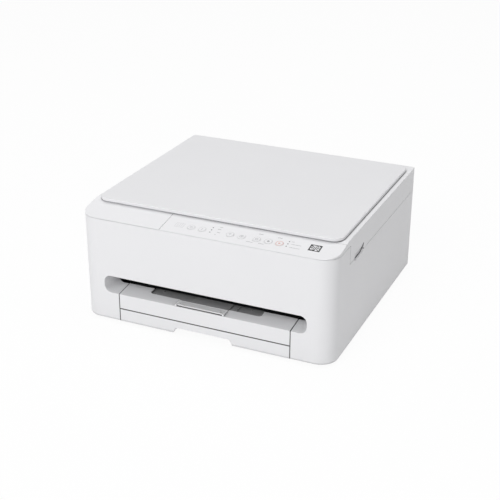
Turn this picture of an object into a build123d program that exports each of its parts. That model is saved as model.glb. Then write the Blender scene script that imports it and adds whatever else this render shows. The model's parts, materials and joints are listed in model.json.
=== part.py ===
from build123d import *
import os
from math import atan2, ceil, cos, degrees, pi, radians, sin, sqrt, tan

# Desktop inkjet printer with a flatbed scanner on top, a paper cassette under the front
# and an output tray above the cassette. All sizes in millimetres.
# X runs to the right seen from the front, Y to the back, Z up from the desk.
# The origin is the middle of the footprint on the desk.

# Outer casing
case_width = 376.0
case_depth = 354.5
front_corner_r = 25.0
rear_corner_r = 4.0
wall = 2.5
casing_edge_r = 0.8
foot_height = 3.5
foot_r = 9.0
foot_inset = (40.0, 37.25, 32.25)
split_height = 124.9
front_height = 151.4
deck_height = 161.2
step_inset = 57.25
unit_gap = 0.5
fit_gap = 0.3
seam_gap = 0.6
pin_gap = 0.06
screw_r = 1.5
screw_head_r = 3.4
screw_inset = (7.4, 59.25, 65.25)

# Openings in the back
rear_inset = 58.0
rear_low = 36.0
rear_high = 100.0
rear_barrel_r = 3.0
rear_pin_r = 1.5
rear_rib_pitch = 28.0
inlet_inset = 30.0
inlet_z = 30.0
inlet_size = (26.0, 18.0)
usb_inset = 40.0
usb_z = 30.0
usb_size = (12.0, 11.0)
board_inset = 17.0
board_length = 96.0
board_end_gap = 19.25

# Scanner unit
skirt_wall = 2.2
deck_thickness = 2.5
ledge_slope = 9.75
ledge_lip = 0.7
unit_edge_r = 0.5
barrel_r = 6.5
unit_pin_r = 2.5
ear_width = 6.0
ear_inset = 35.0
glass_width = 300.0
glass_depth = 220.0
glass_y = 15.0
glass_thickness = 2.8
glass_lap = 3.0
base_skin = 2.0
base_gap = 0.4
pod_height = 137.0
scan_rail_r = 4.0
scan_rail_inset = 20.0
scan_rail_rise = 9.0
scan_bar_width = 24.0
scan_bar_park = 18.0
grip_start = 76.25
grip_length = 37.0
grip_rise = 10.1
grip_depth = 3.4
grip_corner_r = 9.0
grip_wall = 1.8
grip_tab = 5.0

# Document cover
cover_margin = 7.0
cover_front_inset = 38.85
cover_back_inset = 12.45
cover_thickness = 4.0
cover_corner_r = 16.0
cover_gap = 0.7
cover_skin = 2.0
cover_pin_r = 1.6
cover_barrel_r = 3.2
cover_arm_inset = 63.0
cover_arm_width = 20.0
cover_axis_inset = 8.25
cover_axis_drop = 3.2
pad_margin = 2.0

# Operation panel
panel_left_x = -62.2
panel_thickness = 2.0
key_r = 5.5
key_x = [-22.7, -6.6, 34.2, 50.7, 72.4, 88.8, 104.5]
key_inset = 17.75
key_travel = 0.5
switch_height = 2.9
key_gap = 0.25
key_proud = 0.3
lamp_r = 0.9
lamp_x = [6.1, 115.2]
lamp_inset = 15.05
lamp_pitch = 5.6
board_drop = 8.4
board_thickness = 1.6
panel_board_inset = 21.25
panel_boss_x = (-36.0, 122.5)

# Paper slot in the front
slot_margin = 36.0
slot_low = 41.7
slot_high = 67.5
slot_r = 10.0
funnel_depth = 29.6
funnel_taper = 6.0
funnel_low = 45.1
funnel_high = 71.0
funnel_r = 9.0
funnel_wall = 2.0

# Drawers
drawer_width = 257.8
drawer_seam = 19.3
tray_front_top = 41.9
tray_slope = 7.0
tray_skin = 2.0
drawer_wall = 2.2
drawer_inset = 2.2
bay_wall = 3.0
cassette_rear_room = 27.5
cassette_wall_height = 18.0
base_thickness = 2.5
notch_width = 90.0
notch_height = 8.3
notch_slant = 4.5
notch_r = 3.5
tray_length = 172.0
window_left = -89.0
window_right = 80.0
tab_left = -41.5
tab_right = 32.5
stem_left = -25.0
stem_rail_x = 42.0
stem_length = 107.25
stopper_pin_r = 0.6
guide_pitch_r = 6.0
guide_teeth = 12
rack_depth = 5.0
rack_height = 2.2
rack_reach = 9.0
end_guide_inset = 25.25
paper_half = 105.5

# Print mechanism
frame_inset = 30.0
frame_sheet = 2.0
feed_y = 2.0
feed_z = 63.0
feed_shaft_r = 5.0
feed_tyre_r = 7.0
output_shaft_r = 3.0
output_tyre_r = 6.0
gear_module = 1.0
feed_teeth = 36
idler_teeth = 54
output_teeth = 24
pinion_teeth = 12
pinion_turn = radians(-60)
gear_width = 6.0
gear_stand_off = 5.0
mesh_gap = 0.3
platen_top = 70.0
platen_rib_pitch = 16.0
rail_low = 74.0
rail_high = 112.0
rail_y = 40.0
pulley_inset = 11.0
pulley_z = 95.5
pulley_r = 5.4
pulley_width = 5.0
belt_thickness = 1.0
belt_gap = 0.3
carriage_width = 84.0
carriage_low = 72.0
carriage_high = 98.0
carriage_front_y = -56.0
lever_y = -12.0
lever_rise = 3.2
lever_pin_r = 1.6
arm_y = 95.0
arm_z = 62.0
pick_y = 40.0
pick_z = 34.5
pick_r = 11.0
pick_shaft_r = 2.5

# Places worked out from the sizes above
half_w = case_width / 2
half_d = case_depth / 2
front_y = -half_d
back_y = half_d
step_y = front_y + step_inset
case_low = foot_height
split_z = case_low + split_height
front_z = case_low + front_height
deck_z = case_low + deck_height
unit_z = split_z + unit_gap
hinge_y = back_y - barrel_r
hinge_z = unit_z + barrel_r
ledge_z0 = front_z + unit_gap + ledge_lip
slope = tan(radians(ledge_slope))
floor_top = case_low + base_thickness
drawer_half = drawer_width / 2
opening_half = drawer_half + seam_gap
seam_z = case_low + drawer_seam
tray_top_z = case_low + tray_front_top
side_half = drawer_half - drawer_inset
bay_half = side_half + fit_gap
cover_low = deck_z + cover_gap
cover_high = cover_low + cover_thickness
cover_front_y = front_y + cover_front_inset
cover_back_y = back_y - cover_back_inset
cover_axis_y = back_y - cover_axis_inset
cover_axis_z = deck_z - cover_axis_drop
cover_arm_x = half_w - cover_arm_inset
deck_low = deck_z - deck_thickness
inner_z = split_z - 1.4
grip_y0 = front_y + grip_start
grip_y1 = grip_y0 + grip_length
slot_width = case_width - 2 * slot_margin
ear_x = half_w - ear_inset
frame_x = half_w - frame_inset
pulley_x = frame_x - pulley_inset
carriage_right = frame_x - 6
carriage_left = carriage_right - carriage_width
board_x = -half_w + board_inset
board_end_y = back_y - board_end_gap
key_y = front_y + key_inset
lamp_y = [front_y + lamp_inset + i * lamp_pitch for i in range(3)]
board_y = front_y + panel_board_inset
cassette_back = back_y - cassette_rear_room
rear_half = half_w - rear_inset
rear_axis_y = back_y - rear_barrel_r
rear_axis_z = rear_low + fit_gap + rear_barrel_r
inlet_x = half_w - inlet_inset
usb_x = -half_w + usb_inset
screw_x = half_w - screw_inset[0]
screw_rows = (back_y - screw_inset[2], front_y + screw_inset[1])
screw_places = [(x, y) for y in screw_rows for x in (-screw_x, screw_x)]
board_posts = [(board_end_y - share * board_length, z) for share in (0.1, 0.9) for z in (34, 104)]


def block(x0, x1, y0, y1, z0, z1):
    """Box between two corners."""
    centre = ((x0 + x1) / 2, (y0 + y1) / 2, (z0 + z1) / 2)
    return Pos(*centre) * Box(abs(x1 - x0), abs(y1 - y0), abs(z1 - z0))


def rod_x(x0, x1, y, z, r):
    return Pos((x0 + x1) / 2, y, z) * Rot(0, 90, 0) * Cylinder(r, abs(x1 - x0))


def rod_y(x, y0, y1, z, r):
    return Pos(x, (y0 + y1) / 2, z) * Rot(90, 0, 0) * Cylinder(r, abs(y1 - y0))


def rod_z(x, y, z0, z1, r):
    return Pos(x, y, (z0 + z1) / 2) * Cylinder(r, abs(z1 - z0))


def slab_x(points, x0, x1):
    """Outline given as (y, z) points, drawn out along X."""
    plane = Plane(origin=(x0, 0, 0), x_dir=(0, 1, 0), z_dir=(1, 0, 0))
    return extrude(plane * make_face(Polyline(*points, close=True)), x1 - x0)


def slab_y(points, y0, y1):
    """Outline given as (x, z) points, drawn out along Y."""
    plane = Plane(origin=(0, y1, 0), x_dir=(1, 0, 0), z_dir=(0, -1, 0))
    return extrude(plane * make_face(Polyline(*points, close=True)), y1 - y0)


def slab_z(face, z0, z1):
    return extrude(Pos(0, 0, z0) * face, z1 - z0)


def plan(inset):
    """Outline of the casing from above, drawn in by the inset."""
    outline = Rectangle(case_width - 2 * inset, case_depth - 2 * inset)
    front = outline.vertices().sort_by(Axis.Y)[:2]
    outline = fillet(front, front_corner_r - inset)
    rear = outline.vertices().group_by(Axis.Y)[-1]
    return fillet(rear, max(rear_corner_r - inset, 0.8))


def rounded_plate(x0, x1, y0, y1, r, z0, z1):
    face = Pos((x0 + x1) / 2, (y0 + y1) / 2) * RectangleRounded(x1 - x0, y1 - y0, r)
    return slab_z(face, z0, z1)


def slot_face(y, width, low, high, r):
    plane = Plane(origin=(0, y, (low + high) / 2), x_dir=(1, 0, 0), z_dir=(0, -1, 0))
    return plane * RectangleRounded(width, high - low, r)


def ledge_z(y):
    """Height of the sloping ledge in front of the document cover."""
    return ledge_z0 + (y - front_y) * slope


def mirrored(solid):
    return mirror(solid, Plane.YZ)


def toothed_face(teeth, module):
    """Outline of a spur gear with a tooth on the +Y axis of the sketch."""
    pitch_r = teeth * module / 2
    tip_r = pitch_r + 0.85 * module
    root_r = pitch_r - 1.15 * module
    step = 2 * pi / teeth
    points = []
    for i in range(teeth):
        mid = pi / 2 + i * step
        for share, r in ((-0.30, root_r), (-0.12, tip_r), (0.12, tip_r), (0.30, root_r)):
            angle = mid + share * step
            points.append((r * cos(angle), r * sin(angle)))
    return make_face(Polyline(*points, close=True))


# Casing

def funnel(grow):
    """Recess behind the paper slot, narrowing to the back."""
    back = front_y + funnel_depth
    mouth = slot_face(front_y - 0.01, slot_width + 2 * grow, case_low + slot_low - grow,
                      case_low + slot_high + grow, slot_r + grow)
    end = slot_face(back, slot_width - 2 * funnel_taper + 2 * grow, case_low + funnel_low - grow,
                    case_low + funnel_high + grow, funnel_r + grow)
    return loft([mouth, end])


def unit_ear(x):
    """Hooked arm of the casing that carries the scanner unit's hinge pin."""
    x0 = x - ear_width / 2
    x1 = x + ear_width / 2
    neck_y = hinge_y - 18.75
    profile = [
        (back_y - wall, inner_z - 26), (back_y - wall, inner_z - 4), (neck_y, inner_z - 1.5),
        (neck_y, hinge_z - 2), (hinge_y, hinge_z - 2), (hinge_y, hinge_z + 4),
        (neck_y - 6, hinge_z + 4), (neck_y - 11, hinge_z - 1), (neck_y - 11, inner_z - 12),
    ]
    ear = slab_x(profile, x0, x1) + rod_x(x0, x1, hinge_y, hinge_z, 4)
    return ear - rod_x(x0 - 1, x1 + 1, hinge_y, hinge_z, unit_pin_r + pin_gap)


def main_casing():
    body = slab_z(plan(0), case_low, front_z)
    body = fillet(body.faces().sort_by(Axis.Z)[0].edges(), 1.5)
    body = fillet(body.faces().sort_by(Axis.Z)[-1].edges(), casing_edge_r)
    body -= slab_z(plan(wall), case_low - 1, front_z + 1)
    body -= block(-half_w - 1, half_w + 1, step_y, back_y + 1, split_z, front_z + 1)
    # Ledge inside the walls that the inner deck lies on
    ring = slab_z(plan(wall - 0.1), inner_z - 6, inner_z - 2.2)
    ring -= slab_z(plan(wall + 4.5), inner_z - 7, inner_z)
    for side in (-1, 1):
        ring -= block(side * (half_w - wall - 6), side * half_w, grip_y0 - 4, grip_y1 + 4,
                      inner_z - 7, inner_z)
    body += ring
    # Recess behind the paper slot
    body += funnel(funnel_wall) - block(-half_w, half_w, front_y - 2, front_y + 0.1, 0, 90)
    body -= funnel(0)
    # Opening for the two drawers, with a return on each side
    for side in (-1, 1):
        jamb = (side * opening_half, side * (opening_half + wall))
        body += block(*jamb, front_y + 1, front_y + 16, case_low, case_low + slot_low)
    body -= block(-opening_half, opening_half, front_y - 1, front_y + funnel_depth + 1,
                  case_low - 1, case_low + slot_low + 8)
    # Low dip in each side wall below the finger grip
    for side in (-1, 1):
        dip = [(grip_y0 - 1.4, split_z + 1), (grip_y0 + 1, split_z - 3.9), (grip_y1 - 6, split_z - 3.1),
               (grip_y1 + 0.6, split_z + 1)]
        body -= slab_x(dip, side * half_w - 4, side * half_w + 4)
    # Rear opening with its hinge blocks
    body -= block(-rear_half, rear_half, back_y - wall - 1, back_y + 1, rear_low, rear_high)
    for side in (-1, 1):
        body += block(side * rear_half, side * (rear_half + 4), back_y - 8, back_y - 0.5,
                      rear_low - 3, rear_low + 12)
        body -= rod_x(side * (rear_half - 1), side * (rear_half + 3), rear_axis_y, rear_axis_z,
                      rear_pin_r + pin_gap)
    # Rear sockets
    body -= block(inlet_x - inlet_size[0] / 2, inlet_x + inlet_size[0] / 2, back_y - 5, back_y + 1,
                  inlet_z - inlet_size[1] / 2, inlet_z + inlet_size[1] / 2)
    body -= block(usb_x - usb_size[0] / 2 - 0.5, usb_x + usb_size[0] / 2 + 0.5, back_y - 5,
                  back_y + 1, usb_z - usb_size[1] / 2 - 0.5, usb_z + usb_size[1] / 2 + 0.5)
    # Hinge ears, board posts and screw posts
    body += unit_ear(ear_x) + unit_ear(-ear_x)
    for y, z in board_posts:
        body += rod_x(-half_w + 1, board_x - 0.8, y, z, 3)
    for x, y in screw_places:
        post = rod_z(x, y, floor_top + 0.2, floor_top + 22, 5.4)
        body += post - rod_z(x, y, floor_top - 1, floor_top + 18, screw_r + 0.05)
    return body


def bottom_case():
    plate = slab_z(plan(wall + 0.2), case_low, floor_top)
    notch_half = notch_width / 2 + 4
    plate -= block(-notch_half, notch_half, front_y, front_y + 20, case_low - 1, floor_top + 1)
    plate -= block(-opening_half, opening_half, front_y, front_y + 4.4, case_low - 1, floor_top + 1)
    for side in (-1, 1):
        jamb = (side * (opening_half - 0.1), side * (opening_half + wall + 0.2))
        plate -= block(*jamb, front_y, front_y + 16.2, case_low - 1, floor_top + 1)
    for x, y in screw_places:
        plate -= rod_z(x, y, case_low - 1, case_low + 1.6, screw_head_r + 0.2)
        plate -= rod_z(x, y, case_low, floor_top + 1, screw_r + 0.1)
    return plate


def case_screws():
    screws = []
    for x, y in screw_places:
        head = rod_z(x, y, case_low + 0.3, case_low + 1.6, screw_head_r)
        screws.append(head + rod_z(x, y, case_low + 1.5, floor_top + 12, screw_r))
    return screws


def rubber_feet():
    feet = []
    foot_x = half_w - foot_inset[0]
    for y in (front_y + foot_inset[1], back_y - foot_inset[2]):
        for x in (-foot_x, foot_x):
            foot = rod_z(x, y, 0, foot_height, foot_r)
            feet.append(chamfer(foot.faces().sort_by(Axis.Z)[0].edges(), 0.8))
    return feet


grip_room = grip_depth + grip_wall + 0.6


def deck_cover():
    """Inner deck seen when the scanner unit is lifted, with the carriage window."""
    deck = slab_z(plan(wall + 0.3), inner_z - 2.2, inner_z)
    x0 = 8 - frame_x
    x1 = carriage_left - 6
    y0 = carriage_front_y - 20
    y1 = rail_y - 10
    deck += rounded_plate(x0 - 3, x1 + 3, y0 - 3, y1 + 3, 8, inner_z - 6, inner_z - 2)
    deck -= rounded_plate(x0, x1, y0, y1, 6, inner_z - 7, inner_z + 5)
    for side in (-1, 1):
        gap = ear_width / 2 + 0.6
        deck -= block(side * ear_x - gap, side * ear_x + gap, hinge_y - 30.75, back_y,
                      inner_z - 9, inner_z + 9)
        deck -= block(side * half_w, side * (half_w - grip_room), grip_y0 - 4, grip_y1 + 4,
                      inner_z - 3, inner_z + 3)
    return deck


def bay_frame():
    """Side walls that the drawers run between, joined behind them."""
    y0 = front_y + 4.6
    y1 = cassette_back + 4
    groove = (26.5 + case_low, 29.1 + case_low)
    wall_shape = [
        (bay_half, floor_top), (bay_half + bay_wall, floor_top),
        (bay_half + bay_wall, case_low + slot_low + 1.5), (bay_half, case_low + slot_low + 1.5),
        (bay_half, groove[1]), (bay_half + 1.5, groove[1]), (bay_half + 1.5, groove[0]),
        (bay_half, groove[0]),
    ]
    right = slab_y(wall_shape, y0, y1)
    right -= block(opening_half - 0.3, opening_half + 6, y0 - 1, front_y + funnel_depth + 1,
                   floor_top - 1, 80)
    right -= block(0, opening_half + 6, y0 - 1, front_y + funnel_depth + 0.6,
                   case_low + slot_low - 3, 80)
    frame = right + mirrored(right)
    frame += block(-bay_half - bay_wall, bay_half + bay_wall, y1 - 3, y1, floor_top, 40)
    for x in (-70, 0, 70):
        frame -= rounded_slot_y(x, y1, 24, 10, 22)
    return frame


def rounded_slot_y(x, y, width, height, z):
    plane = Plane(origin=(x, y + 5, z), x_dir=(1, 0, 0), z_dir=(0, -1, 0))
    return extrude(plane * RectangleRounded(width, height, 4.5), 12)


# Paper cassette

cassette_floor_low = floor_top + fit_gap
cassette_floor_top = cassette_floor_low + 2.0
guide_low = cassette_floor_top + fit_gap
fence_top = cassette_floor_top + 12.0
end_guide_y = front_y + end_guide_inset


def notch_shape(extra):
    half = notch_width / 2 + extra
    top = case_low + notch_height + extra
    return [(-half, case_low - 2), (-half, case_low), (-half + notch_slant, top),
            (half - notch_slant, top), (half, case_low), (half, case_low - 2)]


def paper_cassette():
    front = block(-drawer_half, drawer_half, front_y, front_y + 3.5, case_low + 0.2, seam_z - seam_gap / 2)
    y0 = front_y + 3
    tray = block(-side_half, side_half, y0, cassette_back, cassette_floor_low,
                 case_low + cassette_wall_height)
    tray -= block(-side_half + drawer_wall, side_half - drawer_wall, y0 - 1,
                  cassette_back - drawer_wall, cassette_floor_top, 60)
    body = front + tray
    # Grip notch with its finger pocket
    body += slab_y(notch_shape(1.8), front_y + 0.5, front_y + 19.8) & block(
        -drawer_half, drawer_half, front_y, front_y + 30, cassette_floor_low, 60)
    notch = slab_y(notch_shape(0), front_y - 1, front_y + 18)
    upper = notch.edges().filter_by(Axis.Y).group_by(Axis.Z)[-1]
    body -= fillet(upper, notch_r)
    # Spindle of the guide pinion and two low ribs under the stack
    body += rod_z(0, 0, cassette_floor_top - 0.5, guide_low + 2.6, 1.5)
    for x in (-60, 60):
        body += block(x - 5, x + 5, end_guide_y + 2, end_guide_y + 72, cassette_floor_top - 0.5,
                      cassette_floor_top + 0.6)
    return body


def rack_bar(x0, x1, y_teeth, y_back, tooth_x):
    """Bar with teeth along the side at y_teeth, with a gap in the teeth at tooth_x."""
    way = 1 if y_teeth < y_back else -1
    pitch = pi * 2 * guide_pitch_r / guide_teeth
    depth_root = y_teeth + way * 1.15
    depth_tip = y_teeth - way * 0.85
    points = [(x0, y_back), (x0, depth_root)]
    first = ceil((x0 + pitch - tooth_x) / pitch - 0.5)
    centre = tooth_x + (first + 0.5) * pitch
    while centre < x1 - pitch:
        for share, y in ((-0.28, depth_root), (-0.12, depth_tip), (0.12, depth_tip), (0.28, depth_root)):
            points.append((centre + share * pitch, y))
        centre += pitch
    points += [(x1, depth_root), (x1, y_back)]
    return slab_z(make_face(Polyline(*points, close=True)), guide_low, guide_low + rack_height)


def width_guide(side):
    """Fence beside the paper with its rack; the other guide's rack passes under it."""
    way = -side
    edge = side * paper_half
    fence = block(edge, edge + side * 1.8, -52, 46, guide_low, fence_top)
    fence = fillet(fence.edges().filter_by(Axis.X).group_by(Axis.Z)[-1], 5)
    near = way * (guide_pitch_r + mesh_gap)
    far = way * (guide_pitch_r + mesh_gap + rack_depth)
    fence -= block(edge - 3, edge + 3, -near + way * 1.2, -far - way * 1.0, guide_low - 1,
                   guide_low + rack_height + 0.5)
    foot = block(edge + side * 0.5, edge - side * 19.5, -way * 3, way * 20, guide_low, guide_low + 1.2)
    tip = -side * rack_reach
    bar = rack_bar(min(edge, tip), max(edge, tip), near, far, 0)
    return fence + foot + bar


def guide_pinion():
    face = toothed_face(guide_teeth, 2 * guide_pitch_r / guide_teeth)
    gear = slab_z(face, guide_low, guide_low + rack_height)
    return gear - rod_z(0, 0, guide_low - 1, guide_low + 5, 1.5 + pin_gap)


def length_guide():
    """Fence behind the short edge of the paper nearest the front."""
    fence = block(-22, 22, end_guide_y, end_guide_y + 2, guide_low, fence_top)
    fence = fillet(fence.edges().filter_by(Axis.Y).group_by(Axis.Z)[-1], 5)
    base = block(-16, 16, end_guide_y + 1, end_guide_y + 28, guide_low, guide_low + 1.4)
    return fence + base


# Output tray

tray_low = seam_z + seam_gap / 2
tray_back_y = front_y + funnel_depth
tray_rise = tan(radians(tray_slope))
bed_top = tray_top_z
bed_low = bed_top - tray_skin
bed_front_y = front_y + tray_skin / tray_rise + 0.4
window_front_y = bed_front_y + 0.2


def output_tray():
    """Light front part: front panel, sloping lip and the two short cheeks."""
    rise = (tray_back_y - front_y) * tray_rise
    outline = [(front_y, tray_low), (front_y, tray_top_z), (tray_back_y, tray_top_z + rise),
               (tray_back_y, tray_top_z + rise - tray_skin),
               (front_y + 3, tray_top_z - tray_skin + 3 * tray_rise),
               (front_y + 3, tray_low)]
    body = slab_x(outline, -drawer_half, drawer_half)
    cheek = [(front_y + 2, tray_low), (front_y + 2, tray_top_z - 0.3),
             (tray_back_y - 0.3, tray_top_z + rise - 0.6), (tray_back_y - 0.3, tray_low)]
    for side in (-1, 1):
        body += slab_x(cheek, side * (side_half - drawer_wall), side * side_half)
    # Flat seat of the extension's tip, cut through the lip as far as the window
    body += block(tab_left - 3, tab_right + 3, front_y + 1, bed_front_y - 0.1, bed_low, bed_top)
    body -= block(tab_left - fit_gap, tab_right + fit_gap, front_y - 1, tray_back_y + 1, bed_top,
                  tray_top_z + 12)
    body -= rounded_plate(window_left, window_right, window_front_y, tray_back_y + 20, 4,
                          bed_top - 3, bed_top + 12)
    return body


def tray_bed():
    """Dark bed that the sheets lie on, under and behind the light front."""
    y1 = front_y + tray_length
    half = side_half - drawer_wall - 0.1
    bed = block(-half, half, bed_front_y, y1, bed_low, bed_top)
    for side in (-1, 1):
        bed += block(side * side_half, side * (side_half - drawer_wall), tray_back_y, y1,
                     tray_low, bed_top + 2)
        bed += block(side * (side_half - 4), side * (side_half - 1), tray_back_y, y1, bed_low, bed_top)
        bed += block(side * (side_half - 1), side * (side_half + 1.3), front_y + 77.25, y1 - 10,
                     case_low + 26.8, case_low + 28.8)
    for x in (-105, -75, 60, 90, 110):
        bed += block(x - 0.8, x + 0.8, tray_back_y + 1, y1 - 6, bed_top - 0.5, bed_top + 1.2)
    for x in (stem_left - 1.4, stem_rail_x):
        bed += block(x - 0.6, x + 0.6, window_front_y + 4.5, y1 - 6, bed_top - 0.5, bed_top + 1.5)
    return bed


ext_low = bed_top + fit_gap
ext_top = ext_low + 1.6
tip_top = ext_low + 2.1
tip_back_y = front_y + 15.0
stopper_y = front_y + 2.6
stopper_z = (ext_low + tip_top) / 2


def tray_extension():
    """Dark sliding stem whose tip carries the paper stopper between two brackets."""
    end_y = front_y + stem_length
    stem = block(stem_left, tab_right - 0.4, front_y + 9, end_y, ext_low, ext_top)
    body = stem + block(tab_left, tab_right, front_y, tip_back_y, ext_low, tip_top)
    body -= rounded_plate(tab_left + 2.4, tab_right - 2.4, front_y - 8, tip_back_y - 1.4, 2,
                          ext_low - 1, tip_top + 1)
    for x in (stem_left + 6, tab_right - 16.4):
        body -= rounded_plate(x, x + 10, front_y + 35.25, end_y - 14, 3, ext_low - 1, ext_top + 1)
    return body - rod_x(tab_left + 1.2, tab_right - 1.2, stopper_y, stopper_z, stopper_pin_r + pin_gap)


def paper_stopper():
    """Plate that lies in the tip of the extension and swings up to stop the sheets."""
    x0 = tab_left + 2.7
    x1 = tab_right - 2.7
    low = ext_low + 0.4
    flap = block(x0, x1, stopper_y, tip_back_y - 1.9, low, tip_top)
    flap = fillet(flap.edges().filter_by(Axis.Z).group_by(Axis.Y)[-1], 2)
    flap += rod_x(x0, x1, stopper_y, stopper_z, stopper_z - low)
    for x in (x0 + 3, x1 - 5):
        flap -= rounded_plate(x, x + 2.4, stopper_y + 2.5, stopper_y + 5.5, 0.8, low - 1, tip_top + 1)
    return flap + rod_x(tab_left + 1.4, tab_right - 1.4, stopper_y, stopper_z, stopper_pin_r)


# Print mechanism

feed_pitch = gear_module * feed_teeth / 2
idler_pitch = gear_module * idler_teeth / 2
output_pitch = gear_module * output_teeth / 2
pinion_pitch = gear_module * pinion_teeth / 2
idler_y = feed_y - feed_pitch - idler_pitch - mesh_gap
output_y = idler_y - idler_pitch - output_pitch - mesh_gap
pinion_reach = feed_pitch + pinion_pitch + mesh_gap
pinion_y = feed_y + pinion_reach * cos(pinion_turn)
pinion_z = feed_z + pinion_reach * sin(pinion_turn)
gear_x1 = -frame_x - frame_sheet - gear_stand_off
gear_x0 = gear_x1 - gear_width
frame_y0 = output_y - 12
frame_y1 = arm_y + 12


def side_frame(left):
    """Upright sheet-metal frame with a foot flange and the holes of the shafts."""
    profile = [(frame_y0, floor_top), (frame_y0, platen_top + 6), (frame_y0 + 18, platen_top + 12),
               (rail_y - 20, rail_high + 2), (rail_y + 8, rail_high + 2), (frame_y1, arm_z + 14),
               (frame_y1, floor_top)]
    sheet = slab_x(profile, frame_x, frame_x + frame_sheet)
    sheet += block(frame_x, frame_x + 12, frame_y0, frame_y1, floor_top, floor_top + frame_sheet)
    for y0, y1 in ((frame_y0 + 12, -58), (-40, -8), (34, 80)):
        sheet -= slab_z(Pos(frame_x, (y0 + y1) / 2) * Rectangle(9, y1 - y0), floor_top + 8, 40)
    for y, z, r in ((feed_y, feed_z, feed_shaft_r), (output_y, feed_z, output_shaft_r),
                    (arm_y, arm_z, pick_shaft_r + 1.5)):
        sheet -= rod_x(frame_x - 1, frame_x + 5, y, z, r + pin_gap)
    if left:
        sheet = mirrored(sheet)
        sheet += rod_x(-frame_x - 0.5, gear_x0 - 1, idler_y, feed_z, 3)
        sheet -= rod_x(-frame_x + 1, -frame_x - 5, pinion_y, pinion_z, 4)
    return sheet


def platen():
    """Ribbed print bed with a curved front apron."""
    x0 = -frame_x + 0.2
    x1 = carriage_left - 6
    y0 = output_y + 8.6
    y1 = feed_y - 10
    top = platen_top - 1
    profile = [(y1, top - 4), (y1, top), (y0 + 8, top), (y0 + 2, top - 2), (y0, top - 8),
               (y0 + 2, top - 8), (y0 + 5, top - 4)]
    bed = slab_x(profile, x0, x1)
    first = x0 + 34
    for i in range(int((x1 - 8 - first) // platen_rib_pitch) + 1):
        x = first + i * platen_rib_pitch
        bed += block(x - 0.8, x + 0.8, y0 + 10, y1 - 4, top - 1, platen_top)
    for y in (y1 - 12, y0 + 18):
        bed += block(x0, x1, y - 1, y + 1, platen_top - 14, platen_top - 4)
    return bed


def carriage_rail():
    """Folded steel rail that the carriage hangs on, with the idler pulley's pin."""
    half = frame_x - 0.2
    profile = [(rail_y - 12, rail_low), (rail_y + 2, rail_low), (rail_y + 2, rail_high),
               (rail_y - 6, rail_high), (rail_y - 6, rail_high - 7), (rail_y - 4.4, rail_high - 7),
               (rail_y - 4.4, rail_high - 2), (rail_y, rail_high - 2), (rail_y, rail_low + 2),
               (rail_y - 12, rail_low + 2)]
    rail = slab_x(profile, -half, half)
    rail += rod_y(pulley_x, rail_y - 8.4, rail_y + 1, pulley_z, 2)
    return rail - rod_y(-pulley_x, rail_y - 1, rail_y + 3, pulley_z, 4)


pulley_y0 = rail_y - 1.0 - pulley_width
belt_inner_r = pulley_r + belt_gap


def pulley(x, bore_r):
    y1 = pulley_y0 + pulley_width
    wheel = rod_y(x, pulley_y0, y1, pulley_z, pulley_r)
    for y in (pulley_y0, y1 - 0.6):
        wheel += rod_y(x, y, y + 0.6, pulley_z, pulley_r + 0.25)
    return wheel - rod_y(x, pulley_y0 - 1, y1 + 1, pulley_z, bore_r)


def drive_pulley():
    return pulley(-pulley_x, 1.0) + rod_y(-pulley_x, pulley_y0 - 0.5, rail_y + 8, pulley_z, 1.5)


def idler_pulley():
    return pulley(pulley_x, 2 + pin_gap)


def drive_belt():
    r = belt_inner_r + belt_thickness
    face = RectangleRounded(2 * pulley_x + 2 * r, 2 * r, r - 0.01)
    face -= RectangleRounded(2 * pulley_x + 2 * belt_inner_r, 2 * belt_inner_r, belt_inner_r - 0.01)
    plane = Plane(origin=(0, pulley_y0 + 4.3, pulley_z), x_dir=(1, 0, 0), z_dir=(0, -1, 0))
    return extrude(plane * face, 3.6)


def carriage_motor():
    y0 = rail_y + 2.0
    can = rod_y(-pulley_x, y0, y0 + 26, pulley_z, 10.5)
    return can - rod_y(-pulley_x, y0 - 1, y0 + 7, pulley_z, 4)


def feed_motor():
    x0 = -frame_x
    can = rod_x(x0, x0 + 22, pinion_y, pinion_z, 12)
    return can - rod_x(x0 - 1, x0 + 8, pinion_y, pinion_z, 3)


def gear_x(teeth, y, z, turn, bore_r):
    """Spur gear on an axle along X, turned by so many degrees."""
    plane = Plane(origin=(gear_x0, y, z), x_dir=(0, 1, 0), z_dir=(1, 0, 0))
    gear = extrude(plane * Rot(0, 0, turn) * toothed_face(teeth, gear_module), gear_width)
    return gear - rod_x(gear_x0 - 1, gear_x1 + 1, y, z, bore_r)


def feed_roller():
    shaft = rod_x(gear_x0 - 1.5, frame_x + 6, feed_y, feed_z, feed_shaft_r)
    for x in (-96, 0, 96):
        shaft += rod_x(x - 34, x + 34, feed_y, feed_z, feed_tyre_r)
    return shaft


def output_roller():
    shaft = rod_x(gear_x0 - 1.5, frame_x + 6, output_y, feed_z, output_shaft_r)
    for i in range(6):
        x = -110 + i * 44
        shaft += rod_x(x - 7, x + 7, output_y, feed_z, output_tyre_r)
    return shaft


def feed_gear():
    return gear_x(feed_teeth, feed_y, feed_z, 90, feed_shaft_r)


def idler_gear():
    """Between the feed and output gears: a gap of its teeth faces each tooth."""
    turn = 90 + 180 / idler_teeth
    gear = gear_x(idler_teeth, idler_y, feed_z, turn, 3 + pin_gap)
    for i in range(5):
        angle = radians(72 * i + 18)
        gear -= rod_x(gear_x0 - 1, gear_x1 + 1, idler_y + 14 * cos(angle), feed_z + 14 * sin(angle), 5.5)
    return gear


def output_gear():
    turn = -90 + (180 / output_teeth if idler_teeth % 2 else 0)
    return gear_x(output_teeth, output_y, feed_z, turn, output_shaft_r)


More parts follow.
